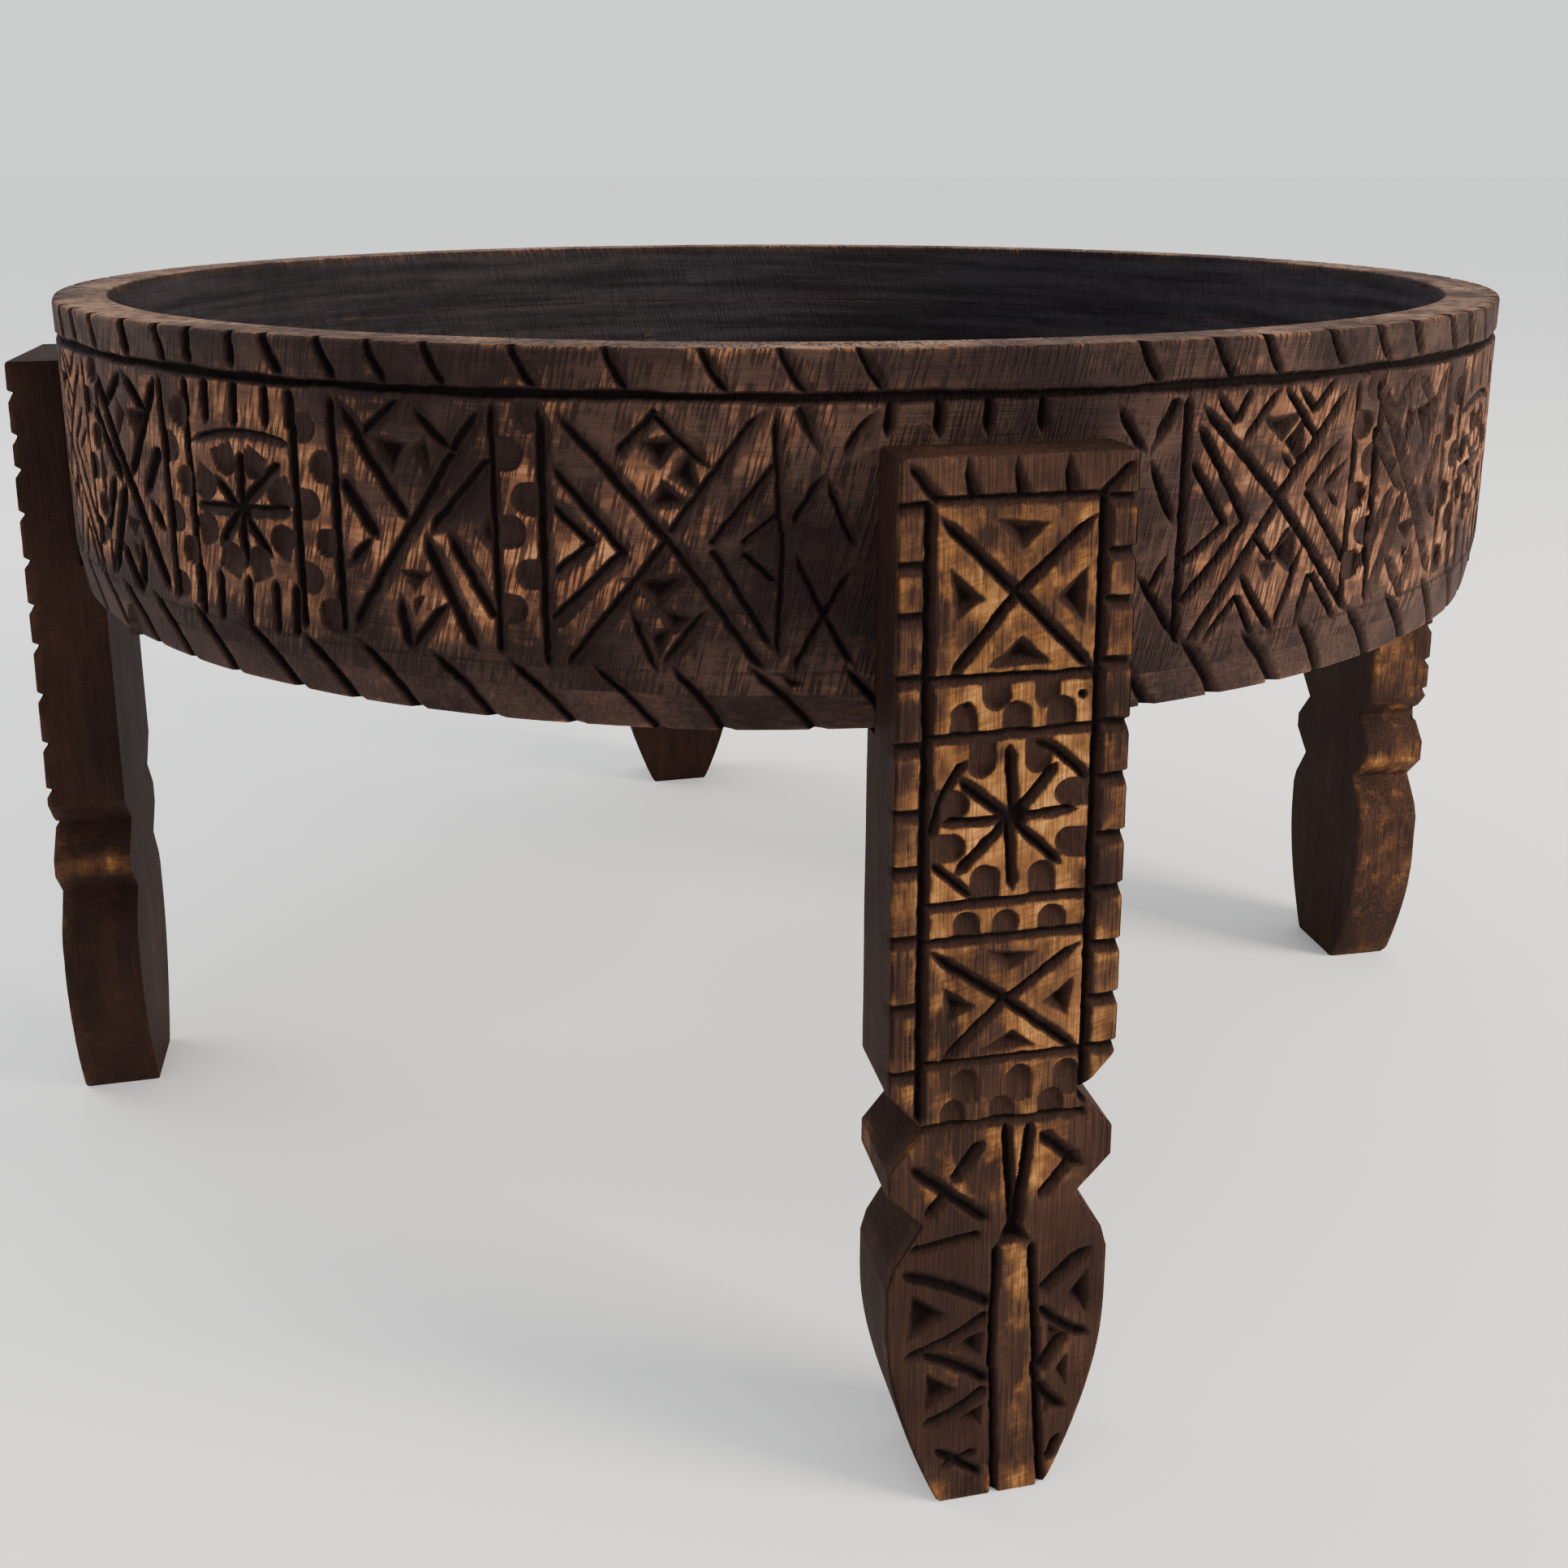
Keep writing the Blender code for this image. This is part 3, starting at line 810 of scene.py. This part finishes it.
def board_outline(front, back):
    """Round a board, anticlockwise from above: x, y, and 1 where the point is on the drum's round edge."""
    radius = DRUM_RADIUS
    outline = []
    for side in (1, -1):
        low, high = (front, back) if side == 1 else (back, front)
        first, last = (math.asin(max(-1.0, min(1.0, y / radius))) for y in (low, high))
        if side == -1:
            first, last = math.pi - first, math.pi - last
        for angle in steps(first, last, WALL_STEP * 1.2 / radius)[:-1]:
            outline.append((radius * math.cos(angle), radius * math.sin(angle), 1.0))
        end = radius * math.cos(last), radius * math.sin(last)
        if abs(end[0]) > 1.0:
            for x in steps(end[0], -end[0], 8.0)[:-1]:
                outline.append((x, end[1], 0.0))
    return np.array(outline)


def make_floor_board(index, relief, finish):
    name = f"floor_board_{index + 1}"
    width = 2 * DRUM_RADIUS / BOARD_COUNT
    front = -DRUM_RADIUS + index * width + (SEAM if index else 0.0)
    back = front + width - (2 * SEAM if 0 < index < BOARD_COUNT - 1 else SEAM)
    outline = board_outline(front, back)
    x, y, is_round = outline.T
    along = wrapped(np.arctan2(x, -y) * DRUM_RADIUS)
    rows = steps(DRUM_BOTTOM, FLOOR_TOP - SEAM, WALL_STEP)

    def layer(place, height, wear=0.0, dirt=0.0, inside=0.0):
        values = (np.broadcast_to(value, len(place)) for value in (height, wear, dirt, inside))
        return np.column_stack([place, *values])

    def shrunk(edge, share, inside):
        """A ring of the flat face within this edge."""
        middle = (0.0, (front + back) / 2)
        return layer(middle + (edge[:, :2] - middle) * share, edge[0, 2], inside=inside)

    profile = []
    for height in rows:
        depth, wear, dirt = relief.at(along, height)
        edge = rounding(height - rows[0], 1.4) + rounding(rows[-1] - height, SEAM_ROUNDING)
        shrink = is_round * (bevel_inset(height) + depth + drum_waves(along, height) + edge) / DRUM_RADIUS
        place = outline[:, :2] * (1 - shrink)[:, None]
        wear = wear + 0.4 * math.exp(-(height - rows[0]) / EDGE_FADE)
        profile.append(layer(place, height, wear * is_round, dirt * is_round))
    under = [shrunk(profile[0], share, 0.55) for share in (0.3, 0.9, 0.985)]
    above = [shrunk(profile[-1], share, 1.0) for share in (0.985, 0.9, 0.3)]
    strips = []
    for rows in np.stack([*under, *profile, *above], axis=1):
        grain = rows[:, :3] + (index * 310.0, index * 57.0, 0.0)
        strips.append(strip(rows[:, :3], grain, *rows[:, 3:].T))
    piece = loft("carved_" + name, strips, finish)
    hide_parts(name)


def side_outline(kind):
    """(height, distance from the leg's middle) up one side: rounded foot, neck, bead, neck and shaft."""
    lower_neck, upper_neck = NECK_HEIGHTS[kind]
    foot_heights = (FOOT_HEIGHT * step / FOOT_STEPS for step in range(FOOT_STEPS + 1))
    outline = [(height, foot_half(height)) for height in foot_heights]
    outline += [
        (lower_neck - 22, LEG_HALF),
        (lower_neck - 15, LEG_HALF - 2),
        (lower_neck, NECK_HALF),
        (lower_neck + 12, LEG_HALF),
        (upper_neck - 14, LEG_HALF),
        (upper_neck, NECK_HALF),
        (upper_neck + 13, LEG_HALF),
        (LEG_TOP, LEG_TOP_HALF),
    ]
    return np.array(outline).T


def leg_heights(outlines):
    """The heights of a leg's rows, and which of them its plain sides use."""
    shoulder = DRUM_BOTTOM - GAP
    keys = {0.0, float(LEG_TOP), shoulder, shoulder + 0.1}
    for heights, _ in outlines:
        keys |= {float(height) for height in heights if height > FOOT_HEIGHT}
    keys = sorted(keys)
    rows, coarse = [0.0], [0]
    for low, high in zip(keys, keys[1:]):
        between = steps(low, high, LEG_STEP)[1:]
        first = len(rows)
        rows += list(between)
        coarse += [i for i in range(first, len(rows) - 1) if (i - first) % COARSE_EVERY == COARSE_EVERY - 1]
        coarse.append(len(rows) - 1)
    return np.array(rows), coarse


def make_leg(name, seed, finish):
    relief = leg_relief(name, seed)
    left_outline, right_outline = (side_outline(kind) for kind in LEG_SIDES[name])
    z, coarse = leg_heights((left_outline, right_outline))
    left, right = (np.interp(z, *outline) for outline in (left_outline, right_outline))
    face = FACE_RADIUS_FOOT + (FACE_RADIUS_TOP - FACE_RADIUS_FOOT) * z / LEG_TOP
    low_back = BACK_RADIUS_FOOT + (BACK_RADIUS_TOP - BACK_RADIUS_FOOT) * z / DRUM_BOTTOM
    ends = rounding(LEG_TOP - z, EDGE_ROUNDING) + rounding(z, EDGE_ROUNDING)
    waves = 0.25 * np.sin(z / 21 + seed) + 0.15 * np.sin(z / 7.3 + 2 * seed)
    angle = math.radians(LEG_ANGLES[name])
    turn = np.array([[math.cos(angle), -math.sin(angle)], [math.sin(angle), math.cos(angle)]])
    offset = seed * np.array([431.0, 97.0, 53.0])
    insets = (0.1, 0.45)

    def back_radius(x):
        notched = np.sqrt((DRUM_RADIUS + GAP) ** 2 - x**2)
        return np.where(z > DRUM_BOTTOM - GAP + 0.05, notched, low_back)

    def line(x, y, chosen, **values):
        """A strip from the foot's middle, up the leg, to the middle of its top."""
        points = np.column_stack([x + waves * 0.3, y, z])[chosen]
        centre_low = np.array([0.0, -(face[0] + low_back[0]) / 2, 0.0])
        centre_high = np.array([0.0, -(face[-1] + DRUM_RADIUS) / 2, LEG_TOP])
        under = [points[0] + (centre_low - points[0]) * (1 - share) for share in insets]
        above = [points[-1] + (centre_high - points[-1]) * (1 - share) for share in insets[::-1]]
        points = np.vstack([under, points, above])
        values = {
            key: np.pad(np.broadcast_to(value, len(z))[chosen], len(insets))
            for key, value in values.items()
        }
        placed = points.copy()
        placed[:, :2] = points[:, :2] @ turn.T
        return strip(placed, points[:, [2, 0, 1]] + offset, **values)

    every = np.arange(len(z))
    some = np.array(coarse)
    strips = []
    count = round(2 * LEG_HALF / LEG_STEP)
    for share in np.linspace(0.0, 1.0, count + 1):
        x = -left + (left + right) * share
        depth = relief.at(x, z)[0]
        edge = rounding(np.minimum(x + left, right - x), EDGE_ROUNDING)
        y = -(face - depth - edge - ends - FACE_INSET - waves * 0.4)
        x = np.where(share < 0.5, x + edge, x - edge)
        _, wear, dirt = relief.at(x, z)
        wear = wear + 0.35 * np.exp(-np.minimum(x + left, right - x) / EDGE_FADE)
        strips.append(line(x, y, every, wear=wear, dirt=dirt))
    # Where a side's strips lie, as shares of the way from the carved face to the back
    shares = (0.022, 0.055, 0.11, 0.2, 0.35, 0.5, 0.65, 0.8, 0.92, 0.98, 1.0)
    # Round the bead the plain sides are lighter: worn bare, and a painted highlight on its facets
    bead_wear_and_highlight = 0.34 * np.exp(-(((z - BEAD_MIDDLE) / BEAD_REACH) ** 2))
    sides = []
    for half, direction in ((right, 1), (left, -1)):
        is_lit_and_worn = (name, direction) in LIT_AND_WORN_SIDES
        notch, _, soot = relief.at(direction * (half - 0.8), z)
        length = face - back_radius(half) - FACE_INSET
        run = []
        for share in shares:
            away = share * length
            fade = unit(1 - away / NOTCH_RUN)
            edges = rounding(away, EDGE_ROUNDING) + 0.35 * notch * fade + rounding(length - away, 1.2)
            x = half - ends * 0.7 - edges
            y = -(face - FACE_INSET - waves * 0.4 * (1 - share)) + away
            y = y + notch * fade * (1 - share) + ends * fade
            wear = 0.4 * np.exp(-away / 1.5) + (bead_wear_and_highlight + 0.26 * is_lit_and_worn) * min(1.0, 4 * share)
            # The cuts' soot and painted shade run on round the leg's arris
            dirt = 0.7 * soot * unit(1 - away / 2.5)
            chosen = every if share < 0.15 else some
            # The plain sides are painted darker than the carved face, as darker stain and painted shade, the
            # lit and worn side much less so
            inside = (0.72 - 0.64 * is_lit_and_worn) * (1 - bead_wear_and_highlight) * min(1.0, share * 5)
            run.append(line(direction * x, y, chosen, wear=wear, dirt=dirt, inside=inside))
        sides.append(run)
    strips += sides[0]
    for share in np.linspace(1.0, 0.0, 16)[1:-1]:
        x = -left + (left + right) * share
        strips.append(line(x, -back_radius(x), some, inside=0.6))
    strips += sides[1][::-1]
    total = len(z) + 2 * len(insets)
    bridged = [0, 1, *(index + len(insets) for index in coarse), total - 2, total - 1]
    piece = loft(f"carved_leg_{name}", strips, finish, bridged)
    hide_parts(f"leg_{name}")


# Materials


def linear(red, green, blue):
    """A screen colour, 0 to 255, as the shader takes it."""
    shares = (value / 255 for value in (red, green, blue))
    return (*(s / 12.92 if s <= 0.04045 else ((s + 0.055) / 1.055) ** 2.4 for s in shares), 1.0)


def palette(**colours):
    return {name: linear(*colour) for name, colour in colours.items()}


class Shading:
    """A material whose nodes are added one by one. An input is a value or another node's output."""

    def __init__(self, name):
        self.material = bpy.data.materials.new(name)
        self.material.use_nodes = True
        self.tree = self.material.node_tree
        self.shader = self.tree.nodes["Principled BSDF"]

    def put(self, socket, value):
        if isinstance(value, bpy.types.NodeSocket):
            self.tree.links.new(value, socket)
        else:
            socket.default_value = value

    def set(self, **inputs):
        """Sets the shader's own inputs, named with _ for a space."""
        for name, value in inputs.items():
            self.put(self.shader.inputs[name.replace("_", " ")], value)

    def bump(self, height, strength, distance):
        inputs = {"Height": height, "Strength": strength, "Distance": distance}
        self.set(Normal=self.add("ShaderNodeBump", inputs).outputs["Normal"])

    def add(self, kind, inputs=(), **settings):
        node = self.tree.nodes.new(kind)
        for key, value in settings.items():
            setattr(node, key, value)
        for key, value in dict(inputs).items():
            self.put(node.inputs[key], value)
        return node

    def attribute(self, name, output="Fac"):
        return self.add("ShaderNodeAttribute", attribute_name=name).outputs[output]

    def math(self, operation, a, b, clamp=False):
        return self.add("ShaderNodeMath", {0: a, 1: b}, operation=operation, use_clamp=clamp).outputs[0]

    def times(self, a, b):
        return self.math("MULTIPLY", a, b)

    def plus(self, a, b, clamp=False):
        return self.math("ADD", a, b, clamp)

    def swing(self, source, amount):
        """A noise as a share of amount either side of 0."""
        return self.times(self.math("SUBTRACT", source, 0.5), amount)

    def noise(self, vector, scale, detail=3.0):
        place = self.add("ShaderNodeVectorMath", {0: vector, 1: scale}, operation="MULTIPLY")
        inputs = {"Vector": place.outputs[0], "Scale": 1.0, "Detail": detail, "Roughness": 0.55}
        return self.add("ShaderNodeTexNoise", inputs).outputs["Fac"]

    def ramp(self, factor, low, high):
        """0 below low, 1 above high and smooth between."""
        inputs = {"Value": factor, "From Min": low, "From Max": high}
        return self.add("ShaderNodeMapRange", inputs, interpolation_type="SMOOTHSTEP").outputs["Result"]

    def mix(self, factor, a, b):
        return self.add("ShaderNodeMix", {0: factor, 6: a, 7: b}, data_type="RGBA").outputs[2]


def stained_wood(name, colours, rasp, fibre):
    """Stained wood, worn to its bare colour on the ridges and black in the cuts, from soot and painted
    shade.

    rasp is how strong the file marks across the grain are, and fibre how strong the grain is."""
    nodes = Shading(name)
    grain = nodes.attribute("grain", "Vector")
    wear, dirt, inside, pale = (nodes.attribute(label) for label in ("wear", "dirt", "inside", "pale"))
    fibres = nodes.noise(grain, (45.0, 1300.0, 800.0), detail=4.0)
    bands = nodes.noise(grain, (9.0, 160.0, 90.0))
    blotches = nodes.noise(grain, (90.0, 140.0, 140.0), detail=5.0)
    clouds = nodes.noise(grain, (22.0, 30.0, 30.0))
    turn = {"Vector": grain, "Angle": FILE_SLANT}
    slant = nodes.add("ShaderNodeVectorRotate", turn, rotation_type="Z_AXIS").outputs[0]
    scratches = nodes.noise(slant, (760.0, 48.0, 200.0), detail=2.0)
    marks = nodes.times(nodes.ramp(scratches, 0.46, 0.58), rasp)
    marks = nodes.times(marks, nodes.ramp(blotches, 0.34, 0.56))

    streaks = nodes.plus(nodes.times(fibres, fibre), nodes.times(clouds, 1 - fibre))
    stained = nodes.mix(nodes.ramp(streaks, 0.34, 0.70), colours["stain"], colours["brown"])
    bare = nodes.mix(nodes.ramp(bands, 0.35, 0.65), colours["bare"], colours["bare_light"])
    dark_fibres = nodes.times(nodes.ramp(fibres, 0.44, 0.60), 1.4 * fibre)
    bare = nodes.mix(dark_fibres, bare, colours["brown"])
    thin = nodes.plus(wear, nodes.swing(blotches, 1.2))
    thin = nodes.plus(thin, nodes.swing(clouds, 0.9))
    thin = nodes.plus(thin, nodes.swing(fibres, 1.4 * fibre))
    colour = nodes.mix(nodes.ramp(thin, 0.18, 1.05), stained, bare)
    rim = nodes.mix(nodes.ramp(streaks, 0.38, 0.62), colours["rim_dark"], colours["rim"])
    colour = nodes.mix(nodes.times(pale, 0.85), colour, rim)
    colour = nodes.mix(marks, colour, colours["stain"])
    # The cut and soot colours darken the cuts: stain gathered there, and painted shade
    colour = nodes.mix(nodes.times(nodes.ramp(dirt, 0.02, 0.26), 0.8), colour, colours["cut"])
    colour = nodes.mix(nodes.times(nodes.ramp(dirt, 0.30, 0.85), 0.9), colour, colours["soot"])
    dark = nodes.mix(nodes.ramp(bands, 0.3, 0.7), colours["inside_dark"], colours["inside"])
    colour = nodes.mix(nodes.times(inside, 0.97), colour, dark)

    rough = nodes.plus(nodes.times(fibres, 0.3), 0.58)
    rough = nodes.plus(rough, nodes.times(dirt, 0.3), clamp=True)
    nodes.set(Base_Color=colour, Roughness=rough, Specular_IOR_Level=0.05)
    height = nodes.plus(fibres, nodes.times(marks, -1.2))
    height = nodes.plus(height, nodes.times(blotches, 1.2))
    nodes.bump(height, strength=0.85, distance=0.0007)
    return nodes.material


def screw_steel():
    """Steel that was stained over with the wood, with grime and fine turning marks."""
    nodes = Shading("screw_steel_worn")
    place = nodes.add("ShaderNodeTexCoord").outputs["Object"]
    grime = nodes.noise(place, (420.0, 420.0, 420.0), detail=4.0)
    scuffs = nodes.noise(place, (2600.0, 300.0, 2600.0), detail=2.0)
    spots = nodes.ramp(grime, 0.48, 0.66)
    colour = nodes.mix(spots, linear(74, 68, 62), linear(30, 23, 20))
    metallic = nodes.math("SUBTRACT", 1.0, nodes.times(spots, 0.7))
    rough = nodes.plus(nodes.times(scuffs, 0.3), 0.28)
    nodes.set(Base_Color=colour, Metallic=metallic, Roughness=rough)
    nodes.bump(scuffs, strength=0.4, distance=0.0001)
    return nodes.material


# The soot and cut colours are the cuts' darkening: stain gathered there, and painted shade
STAINED = palette(
    soot=(13, 9, 9), cut=(42, 30, 27), stain=(32, 23, 22), brown=(66, 49, 42),
    bare=(132, 86, 58), bare_light=(180, 124, 86), rim=(126, 98, 80), rim_dark=(72, 54, 46),
    inside=(47, 43, 47), inside_dark=(30, 27, 30),
)
# On the legs the inside colours also paint the plain sides darker than the face: darker stain and painted
# shade
STAINED_LEGS = STAINED | palette(
    cut=(37, 24, 20), stain=(32, 21, 18), brown=(64, 44, 34),
    bare=(136, 88, 48), bare_light=(190, 132, 72), inside=(39, 23, 18), inside_dark=(24, 14, 12),
)


# The room


def make_room():
    floor_mesh = bpy.data.meshes.new("floor")
    corners = [(x * ROOM_REACH, y * ROOM_REACH, 0.0) for x, y in ((-1, -1), (1, -1), (1, 1), (-1, 1))]
    floor_mesh.from_pydata(corners, [], [(0, 1, 2, 3)])
    floor = add_object("floor", floor_mesh)
    nodes = Shading("pale_floor")
    nodes.set(Base_Color=(0.94, 0.94, 0.94, 1.0), Roughness=0.9)
    floor_mesh.materials.append(nodes.material)

    world = bpy.data.worlds.new("studio")
    world.use_nodes = True
    background = world.node_tree.nodes["Background"]
    background.inputs["Color"].default_value = (0.97, 0.985, 1.0, 1.0)
    background.inputs["Strength"].default_value = 1.3
    bpy.context.scene.world = world


def make_light(name, place, aim, size, power, colour=(1.0, 1.0, 1.0)):
    data = bpy.data.lights.new(name, "AREA")
    data.size = size
    data.energy = power
    data.color = colour
    light = add_object(name, data)
    light.location = place
    light.rotation_euler = (Vector(aim) - Vector(place)).to_track_quat("-Z", "Y").to_euler()


def make_camera():
    data = bpy.data.cameras.new("camera")
    data.sensor_width = 36.0
    data.lens = CAMERA_LENS
    data.shift_y = CAMERA_SHIFT_UP
    data.clip_start = 0.05
    camera = add_object("camera", data)
    camera.location = CAMERA_PLACE
    camera.rotation_euler = (math.pi / 2 + CAMERA_PITCH, 0.0, -CAMERA_YAW)
    bpy.context.scene.camera = camera


make_camera()
make_room()
make_light(
    "key", place=(2.4, -1.7, 1.35), aim=(0.0, 0.0, 0.25), size=1.1, power=175.0, colour=(1.0, 0.90, 0.77)
)
make_light("back_left", place=(-2.2, 1.2, 1.5), aim=(-0.2, 0.0, 0.3), size=1.4, power=42.0)

drum_carving = drum_relief()
wall_finish = stained_wood("wall_wood_worn", STAINED, rasp=0.85, fibre=0.25)
floor_finish = stained_wood("floor_wood_worn", STAINED, rasp=0.2, fibre=0.4)
leg_finish = stained_wood("leg_wood_worn", STAINED_LEGS, rasp=0.26, fibre=0.5)
for node_name in sorted(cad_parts):
    if node_name.startswith("wall_"):
        make_wall_segment(node_name, drum_carving, wall_finish)
for board in range(BOARD_COUNT):
    make_floor_board(board, drum_carving, floor_finish)
for leg_seed, leg_name in enumerate(LEG_ANGLES, start=1):
    make_leg(leg_name, leg_seed, leg_finish)

steel = screw_steel()
for node_name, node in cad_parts.items():
    if "screw" in node_name:
        for material_slot in node.material_slots:
            material_slot.material = steel
